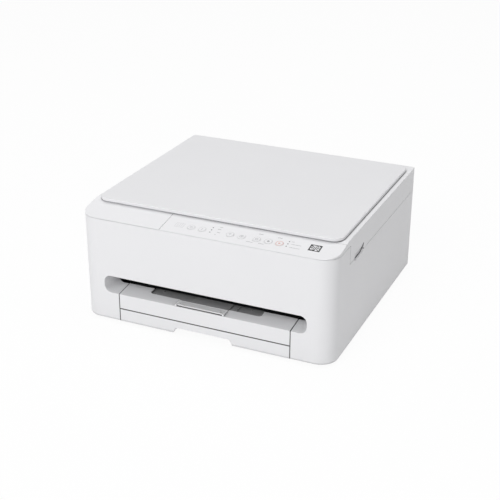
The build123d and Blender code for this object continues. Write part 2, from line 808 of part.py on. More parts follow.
def motor_pinion():
    """Its tooth gap faces the feed gear's tooth along the line between the axles."""
    line = degrees(pinion_turn)
    feed_step = 360 / feed_teeth
    tooth_off = (line / feed_step - round(line / feed_step)) * feed_step
    back = line + 180 - 90 + 180 / pinion_teeth - tooth_off * feed_teeth / pinion_teeth
    gear = gear_x(pinion_teeth, pinion_y, pinion_z, back, 1.5)
    return gear + rod_x(gear_x0 - 0.5, -frame_x + 6, pinion_y, pinion_z, 1.6)


def maintenance_station():
    """Capping and wiping unit that the carriage parks over."""
    z0 = case_low + slot_low + 7.5
    x0 = carriage_left - 2
    y0 = carriage_front_y - 12
    body = block(x0, frame_x - 0.2, y0, y0 + 62, z0, platen_top - 5)
    for x in (x0 + 4, x0 + 46):
        body -= block(x, x + 38, y0 + 6, y0 + 54, z0 + 6, platen_top)
    for x in (x0 + 8, x0 + 50):
        cap = block(x, x + 28, y0 + 16, y0 + 46, z0 + 5, platen_top - 0.4)
        cap -= block(x + 2.5, x + 25.5, y0 + 18.5, y0 + 43.5, platen_top - 2.6, platen_top)
        body += cap
        body += block(x - 2, x - 0.4, y0 + 10, y0 + 50, z0 + 5, platen_top + 0.8)
    return body


def main_board():
    board = block(board_x - 0.8, board_x + 0.8, board_end_y - board_length, board_end_y, 24, 114)
    # Two chips, a socket and a row of plugs: place, size and height of each
    for share, z, dy, dz, h in ((0.77, 60, 24, 24, 2), (0.40, 84, 18, 12, 2), (0.23, 50, 14, 22, 8),
                                (0.65, 98, 30, 6, 6)):
        y = board_end_y - share * board_length
        board += block(board_x + 0.5, board_x + 0.8 + h, y - dy / 2, y + dy / 2, z - dz / 2, z + dz / 2)
    return board


def power_supply():
    x0 = bay_half + bay_wall + 3
    x1 = screw_x - 8
    y0 = arm_y + 16
    y1 = back_y - 23
    body = block(x0, x1, y0, y1, floor_top, floor_top + 44)
    for i in range(5):
        y = y0 + 5 + i * 6
        body -= block(x0 + 6, x1 - 6, y, y + 2.5, floor_top + 42.5, floor_top + 46)
    return body


def power_inlet():
    """Two-pin mains inlet with a figure-of-eight mouth."""
    w, h = inlet_size
    y0 = back_y - 22
    body = block(inlet_x - w / 2 + 0.3, inlet_x + w / 2 - 0.3, y0, back_y - 0.6,
                 inlet_z - h / 2 + 0.3, inlet_z + h / 2 - 0.3)
    body += block(inlet_x - w / 2 - 3, inlet_x + w / 2 + 3, back_y - wall - 3, back_y - wall,
                  inlet_z - h / 2, inlet_z + h / 2)
    for side in (-1, 1):
        body -= rod_y(inlet_x + side * 4.2, back_y - 13, back_y + 1, inlet_z, 4.6)
    for side in (-1, 1):
        body += rod_y(inlet_x + side * 4.2, back_y - 15, back_y - 4, inlet_z, 1.2)
    return body


def usb_port():
    w, h = usb_size
    shell = block(usb_x - w / 2, usb_x + w / 2, back_y - 18, back_y - 0.4, usb_z - h / 2, usb_z + h / 2)
    shell -= block(usb_x - w / 2 + 1, usb_x + w / 2 - 1, back_y - 12, back_y + 1,
                   usb_z - h / 2 + 1, usb_z + h / 2 - 1)
    shell += block(usb_x - 2.8, usb_x + 2.8, back_y - 13, back_y - 3, usb_z - 1.6, usb_z + 1.6)
    bracket = block(usb_x - w / 2 - 2, usb_x + w / 2 + 2, back_y - 18, back_y - 7,
                    floor_top, usb_z - h / 2 + 0.4)
    return shell + bracket


# Carriage, cartridges and locks

bay_pitch = (carriage_width - 3 * 2.4) / 2 + 2.4
clip_x = (carriage_left + carriage_right) / 2
lever_z = carriage_high + lever_rise


def bay_x(i):
    return carriage_left + 2.4 + i * bay_pitch


def carriage():
    back = rail_y - 14
    body = block(carriage_left, carriage_right, carriage_front_y, back, carriage_low, carriage_high)
    for i in (0, 1):
        x0 = bay_x(i)
        body -= block(x0, x0 + bay_pitch - 2.4, carriage_front_y + 2.4, back - 3, carriage_low + 2.5, 130)
        body -= block(x0 + 8, x0 + bay_pitch - 10.4, carriage_front_y + 8, carriage_front_y + 40, 60, 90)
    # Foot that runs along the rail's lower flange, and hook behind the rail's upper lip
    body += block(carriage_left + 6, carriage_right - 6, back - 1, rail_y - 4, rail_low + 2.3, rail_low + 9)
    body += block(carriage_left + 6, carriage_right - 6, back - 1, rail_y - 6.4, rail_high - 6.6,
                  rail_high - 3.4)
    body += block(carriage_left + 6, carriage_right - 6, back - 3, back, carriage_high - 4, rail_high - 3.4)
    # Clip around the upper run of the belt
    top = pulley_z + belt_inner_r
    clip = block(clip_x - 6, clip_x + 6, back - 1, rail_y - 1.0, top - 2.0, top + belt_thickness + 2.0)
    clip -= block(clip_x - 7, clip_x + 7, pulley_y0 + 0.2, rail_y, top - 0.3, top + belt_thickness + 0.3)
    body += clip
    # Ears of the lock levers
    for i in (0, 1):
        x0 = bay_x(i)
        for x in (x0 - 0.1, x0 + bay_pitch - 4.7):
            ear = block(x, x + 2.4, lever_y - 4, lever_y + 4, carriage_high - 14, lever_z + 2.8)
            body += ear - rod_x(x - 1, x + 4, lever_y, lever_z, lever_pin_r + pin_gap)
    return body


def cartridge(i):
    x0 = bay_x(i) + 3.0
    x1 = bay_x(i) + bay_pitch - 5.6
    z0 = carriage_low + 2.7
    body = block(x0, x1, carriage_front_y + 2.8, rail_y - 17.4, z0 + 5, carriage_high - 1)
    body = fillet(body.edges().filter_by(Axis.X).group_by(Axis.Z)[-1], 3)
    body += block(x0 + 6, x1 - 6, carriage_front_y + 9, carriage_front_y + 38, z0, z0 + 6)
    return body


def lock_lever(i):
    x0 = bay_x(i) + 2.9
    x1 = bay_x(i) + bay_pitch - 5.4
    lever = block(x0, x1, lever_y - 38, lever_y, lever_z - 1.4, lever_z + 1.2)
    lever = fillet(lever.edges().filter_by(Axis.Z).group_by(Axis.Y)[0], 4)
    lever += rod_x(x0, x1, lever_y, lever_z, 2.4)
    for k in range(3):
        y = lever_y - 34 + 3 * k
        lever += block(x0 + 5, x1 - 5, y, y + 1.2, lever_z + 1, lever_z + 1.9)
    return lever + rod_x(x0 - 2.2, x1 + 2.2, lever_y, lever_z, lever_pin_r)


def pickup_arm():
    """Cross shaft with the swinging arm that holds the pickup roller."""
    arm = rod_x(-frame_x - 4, frame_x + 4, arm_y, arm_z, pick_shaft_r + 1.5)
    run = atan2(arm_z - pick_z, arm_y - pick_y)
    length = sqrt((arm_y - pick_y) ** 2 + (arm_z - pick_z) ** 2)
    for side in (-1, 1):
        cheek = Pos(0, -length / 2, 0) * Box(3, length, 9)
        arm += Pos(side * 14.5, arm_y, arm_z) * Rot(degrees(run), 0, 0) * cheek
        arm += rod_x(side * 13, side * 16, pick_y, pick_z, 5)
        arm += rod_x(side * 13, side * 16, arm_y, arm_z, 7)
    arm += Pos(0, arm_y, arm_z) * Rot(degrees(run), 0, 0) * (Pos(0, -length / 2, 3) * Box(30, 16, 3))
    return arm - rod_x(-20, 20, pick_y, pick_z, pick_shaft_r + pin_gap)


def pickup_roller():
    roller = rod_x(-12.6, 12.6, pick_y, pick_z, pick_r)
    for i in range(24):
        angle = 2 * pi * i / 24
        roller -= Pos(0, pick_y + pick_r * cos(angle), pick_z + pick_r * sin(angle)) * Box(30, 0.8, 0.8)
    return roller + rod_x(-15.8, 15.8, pick_y, pick_z, pick_shaft_r)


def rear_cover():
    """Flap in the back for clearing paper, with the ribs that turn the sheets round."""
    half = rear_half - fit_gap - 0.1
    cover = block(-half, half, back_y - wall, back_y, rear_axis_z, rear_high - fit_gap)
    cover += rod_x(-half, half, rear_axis_y, rear_axis_z, rear_barrel_r)
    cover += rod_x(-half - 2.6, half + 2.6, rear_axis_y, rear_axis_z, rear_pin_r)
    rib = [(back_y - 2, rear_axis_z + 4), (back_y - 16, rear_axis_z + 8)]
    for i in range(7):
        angle = radians(-60 + i * 20)
        rib.append((back_y - 36 + 26 * cos(angle), 72 + 26 * sin(angle)))
    rib += [(back_y - 20, rear_high - 3), (back_y - 2, rear_high - 3)]
    count = int((half - 10) // rear_rib_pitch)
    for i in range(-count, count + 1):
        cover += slab_x(rib, i * rear_rib_pitch - 0.9, i * rear_rib_pitch + 0.9)
    grip = Pos(0, back_y, rear_high - 12) * Rot(90, 0, 0) * Cylinder(12, 2.4)
    cover -= grip & block(-20, 20, back_y - 1.2, back_y + 3, rear_high - 14, rear_high - 5)
    return cover


# Scanner unit

def unit_profile(inset):
    """Side outline of the unit, from the front lip over the deck to the hinge barrel."""
    low = unit_z if inset == 0 else unit_z - 20
    lip = front_z + unit_gap if inset == 0 else unit_z - 20
    top = deck_z - (deck_thickness if inset else 0)
    ledge0 = ledge_z0 - (deck_thickness if inset else 0)
    y_front = front_y + inset
    points = [(y_front, lip), (y_front, ledge0 + inset * slope), (front_y + (top - ledge0) / slope, top),
              (back_y - inset, top)]
    if inset == 0:
        for i in range(7):
            angle = radians(-90 * i / 6)
            points.append((hinge_y + barrel_r * cos(angle), hinge_z + barrel_r * sin(angle)))
        points += [(step_y + unit_gap, low), (step_y + unit_gap, lip)]
        return points
    for i in range(7):
        angle = radians(-90 * i / 6)
        r = barrel_r - inset
        points.append((hinge_y + r * cos(angle), hinge_z + r * sin(angle)))
    points += [(hinge_y - 5, hinge_z - barrel_r + inset), (hinge_y - 5, low)]
    return points


def panel_zone(top_drop, low_drop, x0, x1, y1):
    """Layer under the ledge surface, between two depths below it."""
    base = front_z + unit_gap
    y0 = front_y - 2
    outline = [(y0, ledge_z(y0) - top_drop), (y1, ledge_z(y1) - top_drop), (y1, ledge_z(y1) - low_drop),
               (y0, ledge_z(y0) - low_drop)]
    zone = slab_x(outline, x0, x1)
    return zone & block(x0, x1, y0, y1, base, deck_z + 2)


panel_back_y = cover_front_y + 3.0


def on_ledge(x, y):
    """Location on the ledge with its Z axis square to the surface."""
    return Pos(x, y, ledge_z(y)) * Rot(ledge_slope, 0, 0)


def disc(place, r, drop0, drop1):
    """Cylinder square to the ledge, between two depths below its surface."""
    return place * Pos(0, 0, -(drop0 + drop1) / 2) * Cylinder(r, abs(drop1 - drop0))


def unit_outer():
    """Outer shape of the unit as one solid, with its upper edges rounded."""
    body = slab_z(plan(0), unit_z - 1, deck_z + 1) & slab_x(unit_profile(0), -half_w, half_w)
    rim = []
    for edge in body.edges():
        mid = edge @ 0.5
        inside = abs(mid.X) < 1 and front_y + 1 < mid.Y < back_y - 1
        if not inside and abs(mid.Z - min(ledge_z(mid.Y), deck_z)) < 0.3:
            rim.append(edge)
    return fillet(rim, unit_edge_r)


def grip_outline(grow):
    """Side outline of the finger grip, reaching down behind the casing's wall."""
    y0 = grip_y0 - 0.5 - grow
    y1 = grip_y1 + 0.5 + grow
    top = unit_z + grip_rise + grow
    low = unit_z - grip_tab - 3
    face = make_face(Polyline((y0, low), (y1, low), (y1, top), (y0, top), close=True))
    front = face.vertices().group_by(Axis.Y)[-1].sort_by(Axis.X)[0]
    face = fillet(front, grip_corner_r)
    rear = face.vertices().group_by(Axis.X)[-1].sort_by(Axis.Y)[-1]
    return fillet(rear, grip_corner_r / 3)


def grip_wedge(inset, grow, side):
    """Wedge between the skirt's face and the sloping back of the grip."""
    deep = half_w - grip_depth - inset
    edge = unit_z + grip_rise
    points = [(half_w + 2, edge + 0.5), (half_w - inset, edge), (deep, unit_z),
              (deep, unit_z - grip_tab), (half_w + 2, unit_z - grip_tab)]
    wedge = slab_y(points, grip_y0 - 9, grip_y1 + 9)
    plane = Plane(origin=(0, 0, 0), x_dir=(0, 1, 0), z_dir=(1, 0, 0))
    wedge = wedge & extrude(plane * grip_outline(grow), half_w + 9)
    return wedge if side > 0 else mirrored(wedge)


def scanner_frame():
    """Upper moulding of the unit: deck, side skirts, ledge and hinge barrel."""
    body = unit_outer()
    inner = slab_z(plan(skirt_wall), unit_z - 30, deck_z)
    inner = inner & slab_x(unit_profile(skirt_wall), -half_w, half_w)
    body -= inner
    # Place of the operation panel and the support under it
    body -= panel_zone(-3, panel_thickness, panel_left_x, half_w + 2, panel_back_y)
    support = panel_zone(panel_thickness, panel_thickness + 2, panel_left_x - 3, half_w,
                         panel_back_y + 3)
    support = support & slab_z(plan(skirt_wall - 0.1), unit_z, deck_z)
    body += support
    body -= block(panel_boss_x[0] - 5, panel_boss_x[1] + 5, front_y + 6, board_y + 13, front_z - 20, deck_z)
    # Window for the glass
    body -= rounded_plate(-glass_width / 2, glass_width / 2, glass_y - glass_depth / 2,
                          glass_y + glass_depth / 2, 3, deck_low - 5, deck_z + 1)
    # Finger grips in the side skirts
    for side in (-1, 1):
        lining = grip_wedge(grip_wall, grip_wall, side)
        lining -= block(side * (half_w - 1), side * (half_w + 3), grip_y0 - 9, grip_y1 + 9, 0, deck_z)
        lining -= block(side * (half_w - grip_depth), side * (half_w + 3), grip_y0 - 9, grip_y1 + 9,
                        0, unit_z)
        body += lining
        body -= grip_wedge(0, 0, side)
    # Pockets and ears of the document cover's hinges
    for side in (-1, 1):
        x0 = side * cover_arm_x - cover_arm_width / 2
        x1 = side * cover_arm_x + cover_arm_width / 2
        body -= block(x0 - 0.5, x1 + 0.5, cover_axis_y - 19, cover_axis_y + cover_barrel_r + 1.4,
                      deck_low - 6, deck_z + 1)
        for e0, e1 in ((x0 - 4, x0 - 0.5), (x1 + 0.5, x1 + 4)):
            ear = block(e0, e1, cover_axis_y - 5, back_y - 2, cover_axis_z - 5, deck_z - 1)
            body += ear
        body -= rod_x(x0 - 3, x1 + 3, cover_axis_y, cover_axis_z, cover_pin_r + pin_gap)
    # Notches of the lower lip at the hinge ears
    for side in (-1, 1):
        gap = ear_width / 2 + 0.6
        body -= block(side * ear_x - gap - 0.2, side * ear_x + gap + 0.2, hinge_y - 6, hinge_y,
                      unit_z - 1, hinge_z + 5)
    return body


base_low = unit_z + base_gap
pod_low = case_low + pod_height
scan_rail_half = half_w - scan_rail_inset
scan_rail_z = base_low + base_skin + scan_rail_rise
scan_bar_x = -scan_rail_half + scan_bar_park
glass_low = deck_low - glass_thickness


def scanner_base():
    """Lower moulding of the unit: floor, front pod, rail supports and hinge bosses."""
    y_end = hinge_y - 5.4
    y_step = step_y + 3.4
    outline = [(y_step, base_low), (y_end, base_low), (y_end, base_low + base_skin),
               (y_step + base_skin, base_low + base_skin), (y_step + base_skin, pod_low + base_skin),
               (front_y + 7.5, pod_low + base_skin), (front_y + 7.5, front_z),
               (front_y + 5.5, front_z), (front_y + 5.5, pod_low), (y_step, pod_low)]
    body = slab_x(outline, -half_w, half_w) & slab_z(plan(wall + 2.4), 0, deck_z)
    # Side walls of the pod
    for side in (-1, 1):
        cheek = [(front_y + 5.5, pod_low), (y_step + base_skin, pod_low),
                 (y_step + base_skin, front_z), (front_y + 5.5, front_z)]
        body += slab_x(cheek, side * (half_w - wall - 2.4), side * (half_w - wall - 4.4)) & slab_z(
            plan(wall + 2.4), 0, deck_z)
    # Low rim around the floor
    rim = slab_z(plan(wall + 2.4), base_low, base_low + 7) - slab_z(plan(wall + 4.4), 0, deck_z)
    body += rim & block(-half_w, half_w, y_step, y_end, 0, deck_z)
    for side in (-1, 1):
        body -= block(side * (half_w - grip_room), side * half_w, grip_y0 - 4, grip_y1 + 4,
                      base_low - 1, base_low + 20)
    # Supports of the scan rail
    for side in (-1, 1):
        block_x = (side * (scan_rail_half - 3), side * (scan_rail_half + 3))
        support = block(*block_x, glass_y - 7, glass_y + 7, base_low + 1, scan_rail_z + 6)
        body += support - rod_x(side * (scan_rail_half - 8), side * (scan_rail_half + 1), glass_y,
                                scan_rail_z, scan_rail_r)
    # Slots for the hinge ears and the bosses with the pins
    for side in (-1, 1):
        x = side * ear_x
        gap = ear_width / 2 + 0.6
        body -= block(x - gap, x + gap, hinge_y - 40.75, back_y, base_low - 1, base_low + 12)
        for e0, e1 in ((x - gap - 6, x - gap), (x + gap, x + gap + 6)):
            boss = block(e0, e1, hinge_y - 12, hinge_y, base_low + 1, hinge_z + 4)
            boss += rod_x(e0, e1, hinge_y, hinge_z, 4)
            boss -= block(e0 - 1, e1 + 1, hinge_y - 5.3, hinge_y, base_low - 2, unit_z + skirt_wall + 0.3)
            body += boss
        body += rod_x(x - gap - 1, x + gap + 1, hinge_y, hinge_z, unit_pin_r)
    return body


def scan_rail():
    return rod_x(-scan_rail_half, scan_rail_half, glass_y, scan_rail_z, scan_rail_r)


def scan_bar():
    """Contact image sensor on its carrier, running along the rail under the glass."""
    x0 = scan_bar_x - scan_bar_width / 2
    x1 = scan_bar_x + scan_bar_width / 2
    top = glass_low - 0.4
    y0 = glass_y - glass_depth / 2 - 2
    y1 = glass_y + glass_depth / 2 + 2
    bar = block(x0 + 4, x1 - 4, y0, y1, top - 12, top)
    bar -= block(scan_bar_x - 2.5, scan_bar_x + 2.5, y0 + 6, y1 - 6, top - 2.5, top + 1)
    bar += block(x0, x1, y0 + 20, y1 - 20, top - 14, top - 11)
    bar += block(x0, x1, glass_y - 9, glass_y + 9, scan_rail_z - 7, top - 11)
    return bar - rod_x(x0 - 1, x1 + 1, glass_y, scan_rail_z, scan_rail_r + pin_gap)


def platen_glass():
    half_x = glass_width / 2 + glass_lap
    half_y = glass_depth / 2 + glass_lap
    return block(-half_x, half_x, glass_y - half_y, glass_y + half_y, glass_low, deck_low)


def key_place(x):
    return on_ledge(x, key_y)


def operation_panel():
    """Right part of the sloping ledge, with its key holes and lamp holes."""
    panel = panel_zone(0, panel_thickness, panel_left_x + 0.4, half_w, panel_back_y - 0.3)
    panel = panel & unit_outer()
    for x in key_x:
        panel -= disc(key_place(x), key_r + key_gap, -3, 6)
    for x in panel_boss_x:
        panel += disc(on_ledge(x, board_y), 3, panel_thickness - 0.5, board_drop)
    for x in lamp_x:
        for y in lamp_y:
            panel -= disc(on_ledge(x, y), lamp_r + 0.05, -3, 6)
    return panel


def key_button(x):
    """Round key with a flange under the panel and a stem down to its switch."""
    place = key_place(x)
    key = disc(place, key_r, -key_proud, panel_thickness + 1)
    key += disc(place, key_r + 1.0, panel_thickness + 0.3, panel_thickness + 1.1)
    return key + disc(place, 1.5, panel_thickness + 1, board_drop - switch_height - key_travel)


def panel_board():
    """Circuit board behind the panel with a switch under each key."""
    x0 = panel_boss_x[0] - 4
    x1 = panel_boss_x[1] + 4
    drop = board_drop + board_thickness / 2
    board = on_ledge((x0 + x1) / 2, board_y) * Pos(0, 0, -drop) * Box(x1 - x0, 24, board_thickness)
    for x in key_x:
        middle = -(board_drop - (switch_height - 0.2) / 2)
        board += key_place(x) * Pos(0, 0, middle) * Box(6, 6, switch_height)
    return board


def status_lamps():
    """Short light pipes from the board to the panel's surface."""
    lamps = []
    for x in lamp_x:
        for y in lamp_y:
            lamps.append(disc(on_ledge(x, y), lamp_r, 0.02, board_drop - 0.3))
    return lamps


# Document cover

def document_cover():
    half = half_w - cover_margin
    cover = rounded_plate(-half, half, cover_front_y, cover_back_y, cover_corner_r, cover_low, cover_high)
    cover = fillet(cover.faces().sort_by(Axis.Z)[-1].edges(), 1.5)
    cover -= rounded_plate(-half + 3, half - 3, cover_front_y + 3, cover_back_y - 3,
                           cover_corner_r - 3, cover_low - 1, cover_high - cover_skin)
    for side in (-1, 1):
        x0 = side * cover_arm_x - cover_arm_width / 2
        x1 = side * cover_arm_x + cover_arm_width / 2
        arm = [(cover_back_y - 12, cover_high - 1), (cover_back_y - 12, cover_low),
               (cover_axis_y - 3, cover_axis_z - 2.5), (cover_axis_y, cover_axis_z - cover_barrel_r),
               (cover_axis_y, cover_axis_z + cover_barrel_r),
               (cover_back_y - 0.5, cover_low + 1), (cover_back_y - 0.5, cover_high - 1)]
        cover += slab_x(arm, x0, x1) + rod_x(x0, x1, cover_axis_y, cover_axis_z, cover_barrel_r)
        cover += rod_x(x0 - 2.6, x1 + 2.6, cover_axis_y, cover_axis_z, cover_pin_r)
    return cover


def cover_pad():
    half_x = glass_width / 2 - pad_margin
    half_y = glass_depth / 2 - pad_margin
    return rounded_plate(-half_x, half_x, glass_y - half_y, glass_y + half_y, 4,
                         deck_low + fit_gap, cover_high - cover_skin)


def save(name, solids):
    if isinstance(solids, list):
        solids = Compound(children=solids)
    export_step(solids, f"parts/{name}.step")


os.makedirs("parts", exist_ok=True)
save("main_casing", main_casing())
save("bottom_case", bottom_case())
save("case_screws", case_screws())
save("rubber_feet", rubber_feet())
save("deck_cover", deck_cover())
save("bay_frame", bay_frame())
save("paper_cassette", paper_cassette())
save("width_guide_left", width_guide(-1))
save("width_guide_right", width_guide(1))
save("guide_pinion", guide_pinion())
save("length_guide", length_guide())
save("output_tray", output_tray())
save("tray_bed", tray_bed())
save("tray_extension", tray_extension())
save("paper_stopper", paper_stopper())
save("side_frame_left", side_frame(True))
save("side_frame_right", side_frame(False))
save("platen", platen())
save("carriage_rail", carriage_rail())
save("drive_pulley", drive_pulley())
save("idler_pulley", idler_pulley())
save("drive_belt", drive_belt())
save("carriage_motor", carriage_motor())
save("feed_motor", feed_motor())
save("feed_roller", feed_roller())
save("feed_gear", feed_gear())
save("idler_gear", idler_gear())
save("output_gear", output_gear())
save("output_roller", output_roller())
save("motor_pinion", motor_pinion())
save("maintenance_station", maintenance_station())
save("main_board", main_board())
save("power_supply", power_supply())
save("power_inlet", power_inlet())
save("usb_port", usb_port())
save("carriage", carriage())
save("cartridge_black", cartridge(1))
save("cartridge_colour", cartridge(0))
save("lock_lever_left", lock_lever(0))
save("lock_lever_right", lock_lever(1))
save("pickup_arm", pickup_arm())
save("pickup_roller", pickup_roller())
save("rear_cover", rear_cover())
save("scanner_frame", scanner_frame())
save("scanner_base", scanner_base())
save("scan_rail", scan_rail())
save("scan_bar", scan_bar())
save("platen_glass", platen_glass())
save("operation_panel", operation_panel())
for number, x in enumerate(key_x, start=1):
    save(f"key_{number}", key_button(x))
save("panel_board", panel_board())
save("status_lamps", status_lamps())
save("document_cover", document_cover())
save("cover_pad", cover_pad())
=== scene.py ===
import json
import math

import bmesh
import bpy
from mathutils import Matrix, Vector


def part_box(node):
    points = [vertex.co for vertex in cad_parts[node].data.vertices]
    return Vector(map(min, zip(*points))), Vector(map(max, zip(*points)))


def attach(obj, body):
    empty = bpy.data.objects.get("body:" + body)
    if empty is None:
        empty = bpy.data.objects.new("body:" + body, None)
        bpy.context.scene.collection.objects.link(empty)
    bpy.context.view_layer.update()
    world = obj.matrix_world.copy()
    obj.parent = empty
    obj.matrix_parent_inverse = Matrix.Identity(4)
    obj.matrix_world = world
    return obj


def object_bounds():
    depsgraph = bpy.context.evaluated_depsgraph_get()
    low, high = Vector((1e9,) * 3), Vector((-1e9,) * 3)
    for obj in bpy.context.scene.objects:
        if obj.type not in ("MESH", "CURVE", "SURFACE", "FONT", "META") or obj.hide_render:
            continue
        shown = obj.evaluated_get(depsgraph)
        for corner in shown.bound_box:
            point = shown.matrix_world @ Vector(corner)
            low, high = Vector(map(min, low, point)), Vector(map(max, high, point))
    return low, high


# Looks of a white desktop inkjet printer with a scanner on top. Metres, in the frame of the CAD
# model, except where millimetres are named.

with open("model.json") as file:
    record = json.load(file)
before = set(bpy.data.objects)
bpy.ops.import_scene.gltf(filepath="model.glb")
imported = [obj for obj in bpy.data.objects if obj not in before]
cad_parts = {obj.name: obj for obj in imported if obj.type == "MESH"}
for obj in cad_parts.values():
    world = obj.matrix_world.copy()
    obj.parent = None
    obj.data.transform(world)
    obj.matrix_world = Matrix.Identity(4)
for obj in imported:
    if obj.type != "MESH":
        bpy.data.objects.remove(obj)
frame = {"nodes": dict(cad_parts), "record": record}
nodes = frame["nodes"]
cad_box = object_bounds()
slots = {entry["node"]: entry["material_slot"] for entry in frame["record"]["subparts"]}
mm = 0.001


def add_object(name, data):
    item = bpy.data.objects.new(name, data)
    bpy.context.scene.collection.objects.link(item)
    return item


def add_piece(name, mesh, material):
    """Object of a finished bmesh, in one material."""
    data = bpy.data.meshes.new(name)
    mesh.to_mesh(data)
    data.materials.append(material)
    return add_object(name, data)


# Camera, from the edges of the casing in the photograph

camera_place = (0.571732, -1.302268, 0.714174)
camera_yaw = 23.98976
camera_pitch = 24.56873
camera_roll = 0.216716
camera_sensor = 36.0
camera_lens = 75.67


def make_camera():
    data = bpy.data.cameras.new("camera")
    data.sensor_width = camera_sensor
    data.lens = camera_lens
    data.clip_start = 0.05
    data.clip_end = 20.0
    camera = add_object("camera", data)
    turn = Matrix.Rotation(math.radians(camera_yaw), 4, "Z")
    tilt = Matrix.Rotation(math.radians(90 - camera_pitch), 4, "X")
    roll = Matrix.Rotation(math.radians(camera_roll), 4, "Z")
    camera.matrix_world = Matrix.Translation(camera_place) @ turn @ tilt @ roll
    bpy.context.scene.camera = camera


# Shader helpers

occlusion_samples = 8
bevel_samples = 6
# Colour and upper fade of the shade painted into gaps and corners
painted_gap_shade_colour = (0.01, 0.01, 0.01)
painted_gap_shade_fade = 0.01
# Colour of the shade painted on the edges beside the drawers' seams
painted_seam_shade_colour = (0.16, 0.16, 0.165)
tone_spread = 0.015
tone_step = 0.0004
roughness_spread = 0.06
plastic_specular = 0.22


class Nodes:
    """Short way to add and join the shader nodes of one material."""

    def __init__(self, name):
        self.material = bpy.data.materials.new(name)
        self.material.use_nodes = True
        self.tree = self.material.node_tree
        self.shader = self.tree.nodes["Principled BSDF"]
        self.coordinates = self.tree.nodes.new("ShaderNodeTexCoord").outputs["Object"]

    def add(self, kind, inputs=None, **settings):
        node = self.tree.nodes.new(kind)
        for key, value in settings.items():
            setattr(node, key, value)
        for key, value in (inputs or {}).items():
            self.put(node.inputs[key], value)
        return node

    def put(self, socket, value):
        if isinstance(value, bpy.types.NodeSocket):
            self.tree.links.new(value, socket)
        else:
            socket.default_value = value

    def noise(self, size, detail=2.0, stretch=(1, 1, 1)):
        """Noise whose features are about size metres, as a factor output."""
        mapping = self.add("ShaderNodeMapping", {"Vector": self.coordinates, "Scale": stretch})
        inputs = {"Vector": mapping.outputs[0], "Scale": 1 / size, "Detail": detail}
        return self.add("ShaderNodeTexNoise", inputs).outputs[0]

    def split(self, axis, place, blur):
        """Factor that turns from 0 to 1 where the piece's own X, Y or Z passes a place."""
        part = self.add("ShaderNodeSeparateXYZ", {"Vector": self.coordinates}).outputs[axis]
        inputs = {"Value": part, "From Min": place - blur / 2, "From Max": place + blur / 2}
        return self.add("ShaderNodeMapRange", inputs).outputs[0]

    def math(self, operation, first, second):
        return self.add("ShaderNodeMath", {0: first, 1: second}, operation=operation).outputs[0]

    def seam(self, axis, place, half, limits):
        """Factor that is 1 where the size of one coordinate is within half of a place.

        limits is a list of (axis, place), and the factor is 0 beyond each of them.
        """
        parts = self.add("ShaderNodeSeparateXYZ", {"Vector": self.coordinates}).outputs
        away = self.math("SUBTRACT", self.math("ABSOLUTE", parts[axis], 0.0), place)
        factor = self.math("LESS_THAN", self.math("ABSOLUTE", away, 0.0), half)
        for limit_axis, limit in limits:
            inside = self.math("LESS_THAN", parts[limit_axis], limit)
            factor = self.math("MULTIPLY", factor, inside)
        return factor

    def clearance(self, reach):
        """Factor that is 1 where no other surface is nearer than reach."""
        settings = {"samples": occlusion_samples}
        node = self.add("ShaderNodeAmbientOcclusion", {"Distance": reach}, **settings)
        return node.outputs["AO"]

    def paint_gap_shade(self, colour, reach, top=None):
        """The colour with painted shade, darker in gaps and corners where other surfaces are
        nearer than reach.

        Above the height top it stays as it is.
        """
        clear = self.clearance(reach)
        squared = self.math("MULTIPLY", clear, clear)
        if top:
            squared = self.math("MAXIMUM", squared, self.split(2, top, painted_gap_shade_fade))
        return self.blend(squared, (*painted_gap_shade_colour, 1), colour)

    def between(self, factor, low, high):
        """Maps a factor from 0 to 1 to a range."""
        node = self.add("ShaderNodeMapRange", {"Value": factor, "To Min": low, "To Max": high})
        return node.outputs[0]

    def blend(self, factor, first, second):
        node = self.add("ShaderNodeMix", data_type="RGBA")
        self.put(node.inputs["Factor"], factor)
        self.put(node.inputs["A"], first)
        self.put(node.inputs["B"], second)
        return node.outputs["Result"]

    def tint(self, factor, first, second):
        return self.blend(factor, (*first, 1), (*second, 1))

    def bump(self, height, depth, edge=0.0):
        """Bump of a depth in metres, on edges that look rounded by the radius edge."""
        node = self.add("ShaderNodeBump", {"Height": height, "Distance": depth, "Strength": 1.0})
        if edge:
            bevel = self.add("ShaderNodeBevel", {"Radius": edge}, samples=bevel_samples)
            self.put(node.inputs["Normal"], bevel.outputs[0])
        self.put(self.shader.inputs["Normal"], node.outputs[0])


def shade(colour, factor):
    return tuple(min(1.0, c * factor) for c in colour)


def moulded(name, colour, roughness=0.45, grain=0.00035, depth=0.000012, edge=0.0005, gaps=0.0,
            top=None, behind=None, seams=()):
    """Moulded plastic with a fine eroded grain and faint flow marks.

    gaps is the reach of the shade painted into narrow gaps and corners, and top the height
    where it ends. behind is (y, colour) of a second colour from that y on. seams are the edges
    beside a seam that get painted shade, each with the values that Nodes.seam takes.
    """
    m = Nodes(name)
    flow = m.noise(0.09, 3.0)
    tone = m.tint(flow, shade(colour, 1 - tone_spread), shade(colour, 1 + tone_spread))
    if behind:
        place, second = behind
        tone = m.blend(m.split(1, place, tone_step), tone, (*second, 1))
    # Painted shade on the edges beside seams
    for seam in seams:
        tone = m.blend(m.seam(*seam), tone, (*painted_seam_shade_colour, 1))
    # Painted shade in gaps and corners, darkening the colour
    if gaps:
        tone = m.paint_gap_shade(tone, gaps, top)
    m.put(m.shader.inputs["Base Color"], tone)
    fine = m.noise(grain, 3.0)
    dull = m.between(fine, roughness - roughness_spread, roughness + roughness_spread)
    m.put(m.shader.inputs["Roughness"], dull)
    m.shader.inputs["Specular IOR Level"].default_value = plastic_specular
    m.bump(fine, depth, edge)
    return m.material


